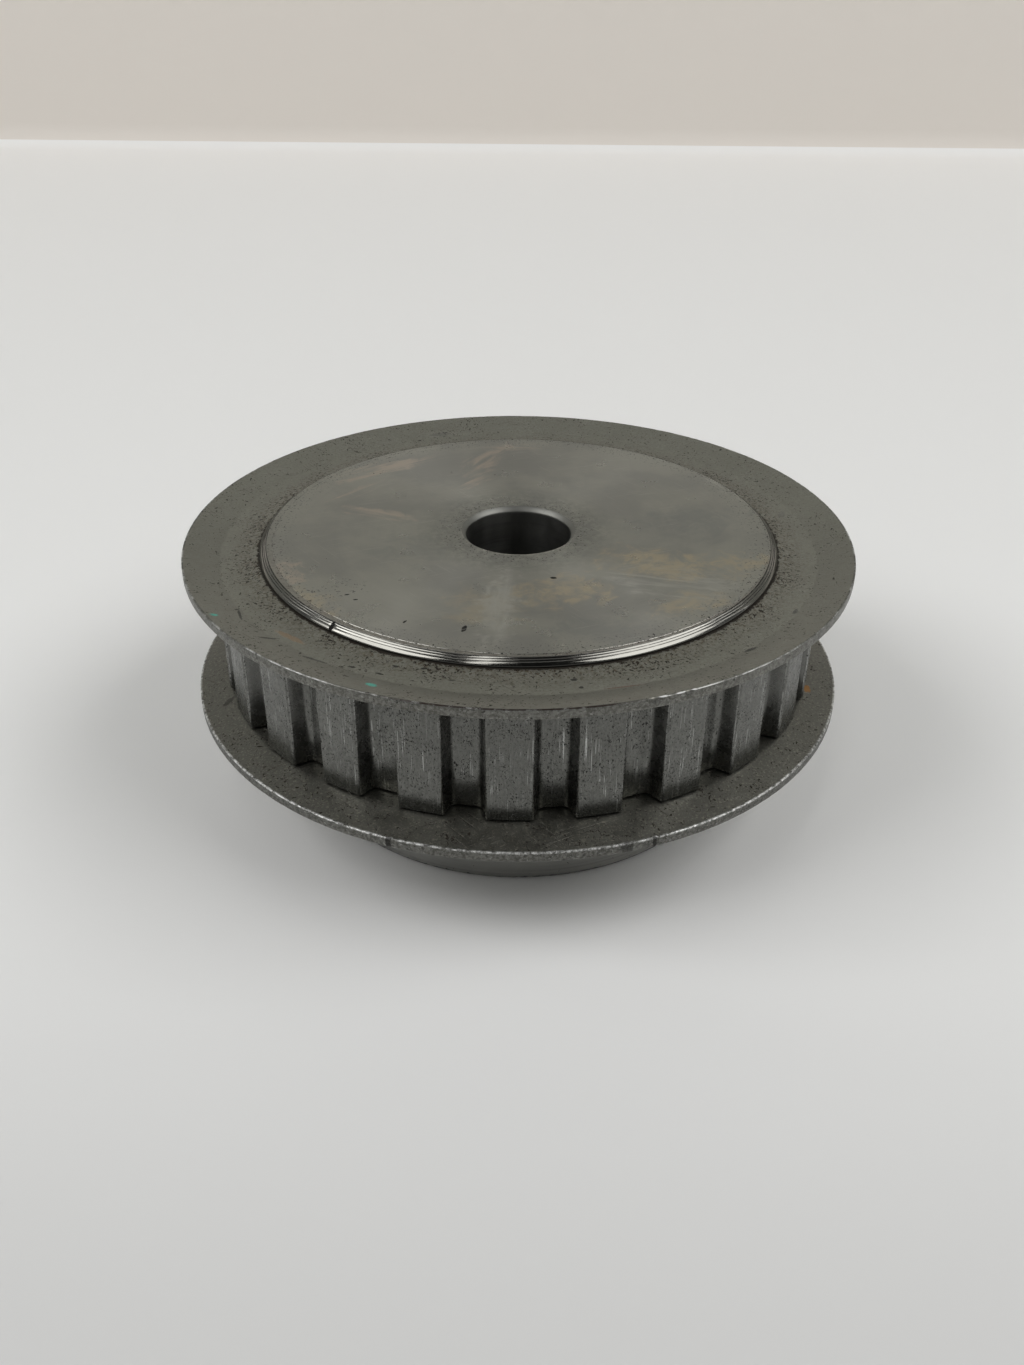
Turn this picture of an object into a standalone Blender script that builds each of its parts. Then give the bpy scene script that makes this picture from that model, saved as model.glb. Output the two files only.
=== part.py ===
"""Timing belt pulley: a toothed steel body with a pressed steel flange on each side.

The pulley stands on the end of its hub. The origin is the centre of the hub's end face,
+Z runs up the bore towards the front face, and one tooth faces -Y.
Lengths are in metres. A turned outline is a closed list of (radius, height) points that
runs outwards over the top, down the outer side, inwards underneath and up the bore.
"""
import math

import bmesh
import bpy

MM = 0.001
INCH = 25.4 * MM

# Belt teeth: straight-sided, 3/8 inch pitch
TOOTH_COUNT = 24
TOOTH_PITCH = 0.375 * INCH
CROWN_BELOW_PITCH_LINE = 0.381 * MM
GROOVE_DEPTH = 2.1 * MM
GROOVE_FLOOR_WIDTH = 3.05 * MM
GROOVE_FLANK_ANGLE = math.radians(20)
GROOVE_ROOT_RADIUS = 0.9 * MM
TOOTH_TIP_RADIUS = 0.35 * MM
PITCH_ANGLE = 2 * math.pi / TOOTH_COUNT
PITCH_RADIUS = TOOTH_COUNT * TOOTH_PITCH / (2 * math.pi)
CROWN_RADIUS = PITCH_RADIUS - CROWN_BELOW_PITCH_LINE
FLOOR_RADIUS = CROWN_RADIUS - GROOVE_DEPTH

# Body: bore, hub and front face
OVERALL_LENGTH = 1.25 * INCH
BORE_RADIUS = 0.25 * INCH
HUB_RADIUS = 1.0625 * INCH
BORE_CHAMFER = 0.6 * MM
HUB_CHAMFER = 0.5 * MM

# Flanges: one sheet-metal ring, flat inside and dished outwards at the rim
FLANGE_RADIUS = 1.5625 * INCH
FLANGE_SHEET = 1.15 * MM
FLANGE_DISH = 1.15 * MM
FLANGE_DISH_ANGLE = math.radians(15.2)
FLANGE_BEND_RADIUS = 1.5 * MM
FLANGE_EDGE_EASE = 0.12 * MM
BELT_TRACK_WIDTH = 13.95 * MM

# The lips that hold the flanges on, and the room left between separate pieces
GAP = 0.3 * MM
LIP_RADIUS = 31.2 * MM
LIP_ROUNDING = 0.45 * MM
LIP_SHOULDER_RADIUS = 30.0 * MM
FLANGE_BORE_RADIUS = LIP_SHOULDER_RADIUS + GAP

# Heights that follow from the sizes above
FRONT_FLANGE_SEAT = OVERALL_LENGTH - FLANGE_DISH - FLANGE_SHEET
HUB_FLANGE_SEAT = FRONT_FLANGE_SEAT - BELT_TRACK_WIDTH
BACK_FACE = HUB_FLANGE_SEAT - FLANGE_SHEET - FLANGE_DISH

# Mesh fineness
TURN_STEPS = 4 * TOOTH_COUNT
ARC_STEPS = 3
SMOOTH_BELOW = math.radians(35)
WELD_DISTANCE = 0.001 * MM


def clear_scene():
    for obj in list(bpy.data.objects):
        bpy.data.objects.remove(obj, do_unlink=True)


def new_collection(name):
    collection = bpy.data.collections.new(name)
    bpy.context.scene.collection.children.link(collection)
    return collection


def steel(name, colour, roughness):
    material = bpy.data.materials.new(name)
    material.use_nodes = True
    shader = material.node_tree.nodes["Principled BSDF"]
    shader.inputs["Base Color"].default_value = (*colour, 1.0)
    shader.inputs["Metallic"].default_value = 1.0
    shader.inputs["Roughness"].default_value = roughness
    return material


def arc(centre, radius, start, end):
    """Points along an arc from start to end, in radians, both ends included."""
    points = []
    for step in range(ARC_STEPS + 1):
        angle = start + (end - start) * step / ARC_STEPS
        x = centre[0] + radius * math.cos(angle)
        y = centre[1] + radius * math.sin(angle)
        points.append((x, y))
    return points


def welded_mesh(source, name):
    """The evaluated mesh of an object, welded, and smooth except at its hard edges."""
    bpy.context.view_layer.update()
    evaluated = source.evaluated_get(bpy.context.evaluated_depsgraph_get())
    mesh = bpy.data.meshes.new_from_object(evaluated)
    mesh.name = name
    work = bmesh.new()
    work.from_mesh(mesh)
    bmesh.ops.remove_doubles(work, verts=work.verts, dist=WELD_DISTANCE)
    work.to_mesh(mesh)
    work.free()
    bpy.data.objects.remove(source)
    return mesh


def turned_mesh(name, outline, collection):
    """Turn a closed outline of (radius, height) points about Z."""
    count = len(outline)
    wire = bpy.data.meshes.new(name + "_outline")
    points = [(radius, 0, height) for radius, height in outline]
    wire.from_pydata(points, [(i, (i + 1) % count) for i in range(count)], [])
    source = bpy.data.objects.new(name + "_outline", wire)
    collection.objects.link(source)
    screw = source.modifiers.new("Turn", "SCREW")
    screw.steps = TURN_STEPS
    screw.render_steps = TURN_STEPS
    screw.use_merge_vertices = True
    screw.merge_threshold = WELD_DISTANCE
    mesh = welded_mesh(source, name)
    mesh.shade_smooth()
    mesh.set_sharp_from_angle(angle=SMOOTH_BELOW)
    return mesh


def body_outline():
    """The body before its grooves are cut: both lips, the toothed rim, the hub and the bore."""
    chamfered_bore = BORE_RADIUS + BORE_CHAMFER
    lip_centre = LIP_RADIUS - LIP_ROUNDING
    front_lip_back = FRONT_FLANGE_SEAT + FLANGE_SHEET + GAP
    hub_lip_back = HUB_FLANGE_SEAT - FLANGE_SHEET - GAP
    teeth_top = FRONT_FLANGE_SEAT - GAP
    teeth_bottom = HUB_FLANGE_SEAT + GAP
    quarter = math.pi / 2
    outline = [(chamfered_bore, OVERALL_LENGTH)]
    outline += arc((lip_centre, OVERALL_LENGTH - LIP_ROUNDING), LIP_ROUNDING, quarter, 0)
    outline += [
        (LIP_RADIUS, front_lip_back),
        (LIP_SHOULDER_RADIUS, front_lip_back),
        (LIP_SHOULDER_RADIUS, teeth_top),
        (CROWN_RADIUS, teeth_top),
        (CROWN_RADIUS, teeth_bottom),
        (LIP_SHOULDER_RADIUS, teeth_bottom),
        (LIP_SHOULDER_RADIUS, hub_lip_back),
        (LIP_RADIUS, hub_lip_back),
    ]
    outline += arc((lip_centre, BACK_FACE + LIP_ROUNDING), LIP_ROUNDING, 0, -quarter)
    outline += [
        (HUB_RADIUS, BACK_FACE),
        (HUB_RADIUS, HUB_CHAMFER),
        (HUB_RADIUS - HUB_CHAMFER, 0),
        (chamfered_bore, 0),
        (BORE_RADIUS, BORE_CHAMFER),
        (BORE_RADIUS, OVERALL_LENGTH - BORE_CHAMFER),
    ]
    return outline


def flange_outline():
    """A flange lying on its belt side at height 0, with its rim dished upwards."""
    slope = FLANGE_DISH_ANGLE
    rim_top = FLANGE_SHEET + FLANGE_DISH
    rim_bottom = rim_top - FLANGE_SHEET / math.cos(slope)
    upright = math.pi / 2
    # One centre serves both faces of the bend, so the sheet keeps its thickness round it
    crease_radius = FLANGE_RADIUS - FLANGE_DISH / math.tan(slope)
    bend_start = crease_radius - FLANGE_BEND_RADIUS * math.tan(slope / 2)
    bend_centre = (bend_start, FLANGE_SHEET + FLANGE_BEND_RADIUS)
    outline = [(FLANGE_BORE_RADIUS, FLANGE_SHEET)]
    outline += arc(bend_centre, FLANGE_BEND_RADIUS, -upright, slope - upright)
    outline += [
        (FLANGE_RADIUS - FLANGE_EDGE_EASE, rim_top),
        (FLANGE_RADIUS, rim_top - FLANGE_EDGE_EASE),
        (FLANGE_RADIUS, rim_bottom + FLANGE_EDGE_EASE),
        (FLANGE_RADIUS - FLANGE_EDGE_EASE, rim_bottom),
    ]
    outline += arc(bend_centre, FLANGE_BEND_RADIUS + FLANGE_SHEET, slope - upright, -upright)
    outline += [(FLANGE_BORE_RADIUS, 0)]
    return outline


def groove_side():
    """Half of a groove's section as (across, outwards) points, from its floor to its mouth."""
    lean = GROOVE_FLANK_ANGLE
    half_corner = math.tan((math.pi / 2 - lean) / 2)
    root_x = GROOVE_FLOOR_WIDTH / 2 - GROOVE_ROOT_RADIUS * half_corner
    root_centre = (root_x, FLOOR_RADIUS + GROOVE_ROOT_RADIUS)
    mouth = GROOVE_FLOOR_WIDTH / 2 + GROOVE_DEPTH * math.tan(lean)
    tip_x = mouth + TOOTH_TIP_RADIUS * half_corner
    tip_centre = (tip_x, CROWN_RADIUS - TOOTH_TIP_RADIUS)
    half_turn = math.pi
    side = arc(root_centre, GROOVE_ROOT_RADIUS, -half_turn / 2, -lean)
    side += arc(tip_centre, TOOTH_TIP_RADIUS, half_turn - lean, half_turn / 2)
    side += [(tip_x, CROWN_RADIUS + MM)]
    return side


def groove_mesh(collection):
    """A straight bar with the groove's section, longer than the teeth at both ends."""
    side = groove_side()
    section = side + [(-x, y) for x, y in reversed(side)]
    curve = bpy.data.curves.new("groove_section", "CURVE")
    curve.dimensions = "2D"
    curve.fill_mode = "BOTH"
    curve.extrude = BELT_TRACK_WIDTH / 2
    spline = curve.splines.new("POLY")
    spline.points.add(len(section) - 1)
    for point, (x, y) in zip(spline.points, section):
        point.co = (x, y, 0, 1)
    spline.use_cyclic_u = True
    source = bpy.data.objects.new("groove_section", curve)
    collection.objects.link(source)
    return welded_mesh(source, "groove_cutter")


def add_groove_cutters(collection):
    """One cutter for each groove; the grooves lie half a pitch to the side of the teeth."""
    mesh = groove_mesh(collection)
    middle = HUB_FLANGE_SEAT + BELT_TRACK_WIDTH / 2
    for index in range(TOOTH_COUNT):
        cutter = bpy.data.objects.new(f"groove_cutter_{index:02d}", mesh)
        cutter.location = (0, 0, middle)
        cutter.rotation_euler = (0, 0, (index + 0.5) * PITCH_ANGLE)
        cutter.display_type = "WIRE"
        cutter.hide_render = True
        collection.objects.link(cutter)


def add_body(collection, cutters, material):
    mesh = turned_mesh("toothed_body", body_outline(), collection)
    mesh.materials.append(material)
    body = bpy.data.objects.new("toothed_body", mesh)
    collection.objects.link(body)
    cut = body.modifiers.new("Grooves", "BOOLEAN")
    cut.operation = "DIFFERENCE"
    cut.operand_type = "COLLECTION"
    cut.collection = cutters
    cut.solver = "EXACT"
    return body


def add_flanges(collection, material):
    """The same pressed ring twice: dished towards the front, and turned over by the hub."""
    mesh = turned_mesh("flange", flange_outline(), collection)
    mesh.materials.append(material)
    front = bpy.data.objects.new("front_flange", mesh)
    front.location = (0, 0, FRONT_FLANGE_SEAT)
    hub_side = bpy.data.objects.new("hub_side_flange", mesh)
    hub_side.location = (0, 0, HUB_FLANGE_SEAT)
    hub_side.rotation_euler = (math.pi, 0, 0)
    for flange in (front, hub_side):
        collection.objects.link(flange)
    return [front, hub_side]


def main():
    clear_scene()
    pulley = new_collection("timing_belt_pulley")
    cutters = new_collection("groove_cutters")
    machined_steel = steel("machined_steel", (0.36, 0.36, 0.35), 0.35)
    flange_steel = steel("flange_steel", (0.30, 0.30, 0.29), 0.5)
    add_groove_cutters(cutters)
    pieces = [add_body(pulley, cutters, machined_steel)]
    pieces += add_flanges(pulley, flange_steel)
    axis = bpy.data.objects.new("pulley_axis", None)
    axis.empty_display_size = OVERALL_LENGTH
    pulley.objects.link(axis)
    for piece in pieces:
        piece.parent = axis


main()
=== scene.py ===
"""Looks for the timing belt pulley: finely turned and toothed steel, two worn sheet flanges.

Working lengths are in millimetres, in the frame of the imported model: +Z up the bore, the hub
standing on height 0 and one tooth facing -Y. They turn into metres when a mesh is made.
"""
import math

import bpy
import numpy as np
from mathutils import Matrix, Vector, noise


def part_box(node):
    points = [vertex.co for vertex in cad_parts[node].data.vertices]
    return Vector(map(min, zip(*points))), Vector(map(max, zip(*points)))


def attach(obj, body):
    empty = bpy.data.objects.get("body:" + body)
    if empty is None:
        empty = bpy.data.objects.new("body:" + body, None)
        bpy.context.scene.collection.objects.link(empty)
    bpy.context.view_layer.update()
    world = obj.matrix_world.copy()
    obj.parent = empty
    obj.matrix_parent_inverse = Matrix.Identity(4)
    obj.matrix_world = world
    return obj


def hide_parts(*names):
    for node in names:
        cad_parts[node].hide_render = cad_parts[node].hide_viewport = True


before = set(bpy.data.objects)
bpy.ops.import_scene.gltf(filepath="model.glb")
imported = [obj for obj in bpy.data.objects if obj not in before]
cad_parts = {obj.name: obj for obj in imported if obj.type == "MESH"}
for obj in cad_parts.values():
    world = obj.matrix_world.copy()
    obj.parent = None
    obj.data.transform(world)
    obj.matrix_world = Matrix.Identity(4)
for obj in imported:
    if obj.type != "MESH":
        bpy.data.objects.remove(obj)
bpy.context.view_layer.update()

MM = 0.001
MIX_FROM, MIX_TO, MIX_RESULT = 6, 7, 2      # the colour sockets of a Mix node


# ---- Sizes: the frame's own, then the named ones that it can't give ----

_, body_high = (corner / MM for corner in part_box("toothed_body"))
front_low, front_high = (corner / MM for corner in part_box("front_flange"))
hub_low, hub_high = (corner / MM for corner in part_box("hub_side_flange"))

TOP = body_high.z
CROWN_RADIUS = body_high.x
FLANGE_RADIUS = front_high.x
FRONT_SEAT = front_low.z
HUB_SEAT = hub_high.z
BACK_FACE = hub_low.z

TOOTH_COUNT = 24
PITCH_ANGLE = 2 * math.pi / TOOTH_COUNT
GROOVE_DEPTH = 2.1
GROOVE_FLOOR_WIDTH = 3.05
GROOVE_LEAN = math.radians(20)
ROOT_RADIUS = 0.8
TIP_RADIUS = 0.3

BORE_RADIUS = 6.35
HUB_RADIUS = 26.99
HUB_EDGE = 0.5
SHOULDER_RADIUS = 30.0

# The bore's chamfers, as (distance out from the bore, height above that end of it)
FRONT_MOUTH_BELOW = [(0, -0.56), (0, -0.52), (0.06, -0.43), (0.29, -0.21)]
FRONT_MOUTH_ABOVE = [(0.52, -0.03), (0.60, 0)]
BACK_MOUTH = [(0.65, 0.0), (0.55, 0.03), (0.05, 0.55), (0, 0.65)]

# The turned line on the front face, slightly off centre as in the photo, and its outline as
# (distance out from the line, height above the face)
STEP_CENTRE = (0.25, 0)
STEP_RADIUS = 29.5
FACE_STEP = [(-0.02, 0), (0, 0), (0.03, -0.03), (0.06, -0.03)]

# The rolled lip: its ridges lie along a slope; heights are measured from the face
LIP_RADIUS = 30.82
LIP_SIDE = -0.86
RIDGE_START = 30.12
RIDGE_TOP = -0.05
RIDGE_WIDTH = 0.62
RIDGE_DROP = 0.57
RIDGE_ENDS = (0.0, 0.27, 0.60, 1.0)
RIDGE_BULGE = 0.045
NICK_PLACE = (-19.0, -23.85)

# The flanges: sheet thickness, dish, and the low collar round the lip
FLANGE_BORE = 30.35
FLANGE_STEPS = 1080
SHEET = 1.15
DISH_ANGLE = math.radians(15.2)
SHADE_START = 35.4
COLLAR = 0.22
COLLAR_FOOT = 33.0
SLACK = 0.02
RIM_LOWEST = 2 * SHEET - SLACK - SHEET / math.cos(DISH_ANGLE)
TOOTH_END_GAP = 0.22


# ---- Mesh helpers ----

def arc(centre, radius, start, end, steps):
    """Points along an arc, angles in degrees, both ends included."""
    angles = np.radians(np.linspace(start, end, steps + 1))
    return [(centre[0] + radius * math.cos(a), centre[1] + radius * math.sin(a)) for a in angles]


def subdivide(points, longest):
    """The same outline with its long stretches split."""
    out = [points[0]]
    for a, b in zip(points, points[1:]):
        parts = max(1, math.ceil(math.dist(a, b) / longest))
        out += [(a[0] + (b[0] - a[0]) * i / parts, a[1] + (b[1] - a[1]) * i / parts)
                for i in range(1, parts + 1)]
    return out


def skin(name, rings, bands, materials):
    """A closed mesh through closed rings of points; bands holds each band's material index."""
    count, around = rings.shape[:2]
    mesh = bpy.data.meshes.new(name)
    i, j = np.meshgrid(np.arange(count), np.arange(around), indexing="ij")
    next_i, next_j = (i + 1) % count, (j + 1) % around
    quads = np.stack([i * around + j, next_i * around + j,
                      next_i * around + next_j, i * around + next_j], axis=-1)
    mesh.from_pydata((rings.reshape(-1, 3) * MM).tolist(), [], quads.reshape(-1, 4).tolist())
    for material in materials:
        mesh.materials.append(material)
    mesh.polygons.foreach_set("material_index", np.repeat(bands, around).astype(np.int32))
    mesh.shade_smooth()
    mesh.set_sharp_from_angle(angle=math.radians(38))
    mesh.update()
    piece = bpy.data.objects.new(name, mesh)
    bpy.context.scene.collection.objects.link(piece)
    return piece


def ripple(points, size, strength, seed):
    """Smooth noise from -strength to strength at each point, in blobs of about size."""
    shift = Vector((seed * 13.7, seed * 5.1, seed * 9.3))
    flat = points.reshape(-1, 3) / size
    values = [noise.noise(Vector(p) + shift) for p in flat.tolist()]
    return strength * np.array(values).reshape(points.shape[:-1])


def dent(points, centre, radius, push):
    """Moves the points near centre by push, fading to nothing at radius."""
    distance = np.linalg.norm(points - np.array(centre), axis=-1) / radius
    fade = np.clip(1 - distance ** 2, 0, 1) ** 2
    points += fade[..., None] * np.array(push)


# ---- The toothed body ----

def tooth_section():
    """Points (radius, angle) over one pitch, from a tooth's middle to the next tooth's middle."""
    half_corner = math.tan((math.pi / 2 - GROOVE_LEAN) / 2)
    lean = math.degrees(GROOVE_LEAN)
    floor = CROWN_RADIUS - GROOVE_DEPTH
    root_x = GROOVE_FLOOR_WIDTH / 2 - ROOT_RADIUS * half_corner
    tip_x = GROOVE_FLOOR_WIDTH / 2 + GROOVE_DEPTH * math.tan(GROOVE_LEAN) + TIP_RADIUS * half_corner
    side = [(root_x * i / 3, floor) for i in range(3)]
    root = arc((root_x, floor + ROOT_RADIUS), ROOT_RADIUS, -90, -lean, 5)
    tip = arc((tip_x, CROWN_RADIUS - TIP_RADIUS), TIP_RADIUS, 180 - lean, 90, 4)
    side += subdivide(root + tip[:1], 0.6) + tip[1:]
    polar = [(math.hypot(x, y), math.atan2(x, y)) for x, y in side]
    last = polar[-1][1]
    steps = 4
    polar += [(CROWN_RADIUS, last + (PITCH_ANGLE / 2 - last) * i / steps)
              for i in range(1, steps + 1)]
    left = [(radius, -angle) for radius, angle in reversed(polar)]
    return left[:-1] + polar[:-1]


SECTION = tooth_section()
RING_ANGLES = np.array([
    math.pi / 2 + (tooth + 0.5) * PITCH_ANGLE + angle
    for tooth in range(TOOTH_COUNT) for _, angle in SECTION
])
SECTION_RADII = np.tile([radius for radius, _ in SECTION], TOOTH_COUNT)


def ring(radii, height):
    """One ring of the body; radii is a number or one radius for each of its points."""
    return np.stack([radii * np.cos(RING_ANGLES), radii * np.sin(RING_ANGLES),
                     np.full_like(RING_ANGLES, height)], axis=-1)


def lip_profile(steps):
    """Over the rolled lip's ridges, as (radius, height above the face), outwards and down."""
    points = [(RIDGE_START - 0.13, -0.03), (RIDGE_START - 0.07, -0.09)]
    for low, high in zip(RIDGE_ENDS, RIDGE_ENDS[1:]):
        for i in range(steps):
            share = i / steps
            along = low + (high - low) * share
            bulge = RIDGE_BULGE * (high - low) * math.sin(math.pi * share)
            points.append((RIDGE_START + along * RIDGE_WIDTH + bulge * RIDGE_DROP,
                           RIDGE_TOP - along * RIDGE_DROP + bulge * RIDGE_WIDTH))
    slope_end = RIDGE_TOP - RIDGE_DROP
    points += [(LIP_RADIUS - 0.08, slope_end), (LIP_RADIUS - 0.03, slope_end - 0.05),
               (LIP_RADIUS, slope_end - 0.13), (LIP_RADIUS, LIP_SIDE + 0.04),
               (LIP_RADIUS - 0.04, LIP_SIDE), (LIP_RADIUS - 0.20, LIP_SIDE - 0.02),
               (LIP_RADIUS - 0.62, LIP_SIDE - 0.02)]
    return points


def body_rings():
    """The body's rings in order, each with the index of the material below it."""
    face, lip, teeth, hub = range(4)
    rings, bands = [], []

    def add(points, band):
        for radii, height in points:
            rings.append(ring(radii, height))
            bands.append(band)

    add([(BORE_RADIUS + r, TOP + z) for r, z in FRONT_MOUTH_ABOVE], face)
    add([(r, TOP) for r in (7.3, 14, 21)], face)
    for r, z in FACE_STEP:
        rings.append(ring(STEP_RADIUS + r, TOP + z) + np.array([*STEP_CENTRE, 0]))
        bands.append(face)
    add([(r, TOP + z) for r, z in lip_profile(5)], lip)
    add([(SHOULDER_RADIUS, TOP - SHEET + 0.04), (SHOULDER_RADIUS, FRONT_SEAT - SLACK)], lip)
    for height in np.linspace(FRONT_SEAT - SLACK, HUB_SEAT + TOOTH_END_GAP, 7):
        add([(SECTION_RADII, height)], teeth)
    add([(SHOULDER_RADIUS, HUB_SEAT + SLACK), (SHOULDER_RADIUS, BACK_FACE + SHEET - 0.04)], lip)
    add([(r, BACK_FACE - z) for r, z in reversed(lip_profile(3))], lip)
    add([(29.0, BACK_FACE), (HUB_RADIUS + 0.4, BACK_FACE), (HUB_RADIUS + 0.12, BACK_FACE - 0.12),
         (HUB_RADIUS, BACK_FACE - 0.4)], hub)
    add([(HUB_RADIUS, z) for z in (BACK_FACE - 1, 7.0, 0.6)], hub)
    add(arc((HUB_RADIUS - HUB_EDGE, HUB_EDGE), HUB_EDGE, 0, -90, 4), hub)
    add([(r, 0) for r in (25.5, 16, 7.4)], hub)
    add([(BORE_RADIUS + r, z) for r, z in BACK_MOUTH], hub)
    add([(BORE_RADIUS, z) for z in (2, TOP / 2, TOP - 2)], hub)
    add([(BORE_RADIUS + r, TOP + z) for r, z in FRONT_MOUTH_BELOW], hub)
    return np.array(rings), np.array(bands)


# Each (place, reach, push): the lip is pressed down at this place
LIP_NICKS = [((*NICK_PLACE, TOP - 0.25), 0.4, (0.02, 0.03, -0.14))]


def make_body(materials):
    rings, bands = body_rings()
    for centre, radius, push in LIP_NICKS:
        dent(rings, centre, radius, push)
    return skin("machined_body", rings, bands, materials)


# ---- The flanges ----

def flange_profile():
    """Round a flange's section from its bore over its outer face, height 0 on its belt side."""
    slope = DISH_ANGLE
    degrees = math.degrees(slope)
    rim_top = 2 * SHEET - SLACK
    bend = 2.2
    crease = FLANGE_RADIUS - SHEET / math.tan(slope)
    centre = (crease - bend * math.tan(slope / 2), SHEET + bend)
    ease = 0.13
    edge = 0.08
    outer = [(FLANGE_BORE, SHEET + COLLAR - edge), (FLANGE_BORE + edge, SHEET + COLLAR),
             (COLLAR_FOOT - 1.8, SHEET + COLLAR), (COLLAR_FOOT - 1.4, SHEET + COLLAR * 0.8),
             (COLLAR_FOOT - 0.7, SHEET + COLLAR * 0.3), (COLLAR_FOOT, SHEET)]
    outer += arc(centre, bend, -90, degrees - 90, 4)
    outer += [(FLANGE_RADIUS - ease, rim_top - ease * math.tan(slope))]
    outer = subdivide(outer, 0.33)
    rim = arc((FLANGE_RADIUS - ease, rim_top - ease - 0.03), ease, 75, 0, 3)
    rim += arc((FLANGE_RADIUS - ease, RIM_LOWEST + ease), ease, 0, -75, 3)
    inner = [(FLANGE_RADIUS - 2 * ease, RIM_LOWEST - ease * math.tan(slope))]
    inner += arc(centre, bend + SHEET, degrees - 90, -90, 4)
    inner += [(FLANGE_BORE + edge, 0), (FLANGE_BORE, edge)]
    return outer + subdivide(rim, 0.2) + subdivide(inner, 0.5)


# Each (place, reach, push): the front flange's rim is knocked in at these places
RIM_CHIPS = [
    ((13.8, -37.1, 2.3), 0.9, (-0.10, 0.25, -0.10)),
    ((17.2, -35.7, 2.3), 0.7, (-0.10, 0.22, -0.10)),
    ((37.1, -13.2, 2.3), 0.8, (-0.22, 0.08, -0.08)),
]


def make_flange(name, seat, way, seed, material, hollows=()):
    """A flange with its belt side at height seat; way is 1 if it is dished upwards, or -1."""
    angles = np.arange(FLANGE_STEPS) * 2 * math.pi / FLANGE_STEPS
    profile = np.array(flange_profile())
    rings = np.stack([
        profile[:, :1] * np.cos(angles), profile[:, :1] * np.sin(angles),
        np.repeat(profile[:, 1:], FLANGE_STEPS, axis=1),
    ], axis=-1)
    off_belt_side = rings[..., 2] > 0.5
    rings[..., 2] -= np.abs(ripple(rings, 9.0, 0.03, seed)) * off_belt_side
    edge = np.clip((np.hypot(rings[..., 0], rings[..., 1]) - FLANGE_RADIUS + 0.5) / 0.5, 0, 1)
    wear = np.abs(ripple(rings, 1.1, 0.03, seed + 3)) + np.abs(ripple(rings, 0.35, 0.012, seed + 5))
    rings[..., :2] *= (1 - edge * wear / FLANGE_RADIUS)[..., None]
    for centre, radius, push in hollows:
        dent(rings, centre, radius, push)
    rings[..., 2] = seat + way * rings[..., 2]
    if way < 0:
        rings = rings[::-1]
    return skin(name, rings, np.zeros(len(rings)), [material])


# ---- Colours, and marks placed where the photo has them ----

SHEET_SHADES = ((0.275, 0.271, 0.235), (0.40, 0.394, 0.345))
RUST = (0.30, 0.15, 0.05)
TEAL = (0.09, 0.30, 0.24)
SOOT = (0.010, 0.009, 0.008)
# Bright metal for the rims' edges: partly wear, partly a painted highlight
WEAR_AND_GLINT = (0.80, 0.80, 0.78)
BROWN = (0.61, 0.53, 0.39)
PINK = (0.62, 0.54, 0.46)
PALE = (0.62, 0.61, 0.56)
COOL = (0.335, 0.335, 0.32)

# Blotches on the front face, one of them a painted highlight streak, each (centre, half sizes, turn in
# degrees, strength, colour)
STAINS = [
    ((16, -9), (9, 4.5), -18, 0.9, BROWN),
    ((25, -8), (5, 3), 0, 0.8, BROWN),
    ((19, -18), (6, 3), 30, 0.7, BROWN),
    ((5, -16), (7, 4), 15, 0.8, BROWN),
    ((-3, -20), (5, 6), 0, 0.5, BROWN),
    ((-22, -20), (6, 3), -50, 0.6, BROWN),
    ((-26, -12), (4.5, 2.2), -60, 0.9, PINK),
    ((20, 3), (8, 6), 20, 0.7, COOL),
    ((-12, -6), (6, 5), 0, 0.5, COOL),
    ((8, -24), (7, 3.5), 10, 0.6, COOL),
    # Painted highlight: a pale streak from the bore to the front, the front arm of the face's bow-tie
    # sheen
    ((-1.7, -19), (11, 2.8), 88, 0.7, PALE),
]
# Wiped smears on the front face, one of them a painted highlight streak, in the same form
STROKES = [
    ((-5, 22), (7, 2.4), 62, 0.9, PINK),
    ((-6, 15), (6, 1.8), 50, 0.8, PINK),
    ((-1, 27), (5, 2), 5, 0.8, PINK),
    ((-19, 18), (10, 3), 35, 0.9, PINK),
    ((-21, 10), (7, 1.6), 50, 0.9, PINK),
    # Painted highlight: the same pale streak from the bore to the front
    ((-1.4, -18), (10, 1.5), 88, 0.6, PALE),
    ((-18, 4), (7, 1.8), -20, 0.9, PINK),
    ((26.5, 13.5), (8, 1.8), -60, 0.9, PALE),
    ((17, -13), (9, 5), -12, 0.6, PALE),
]
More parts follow.
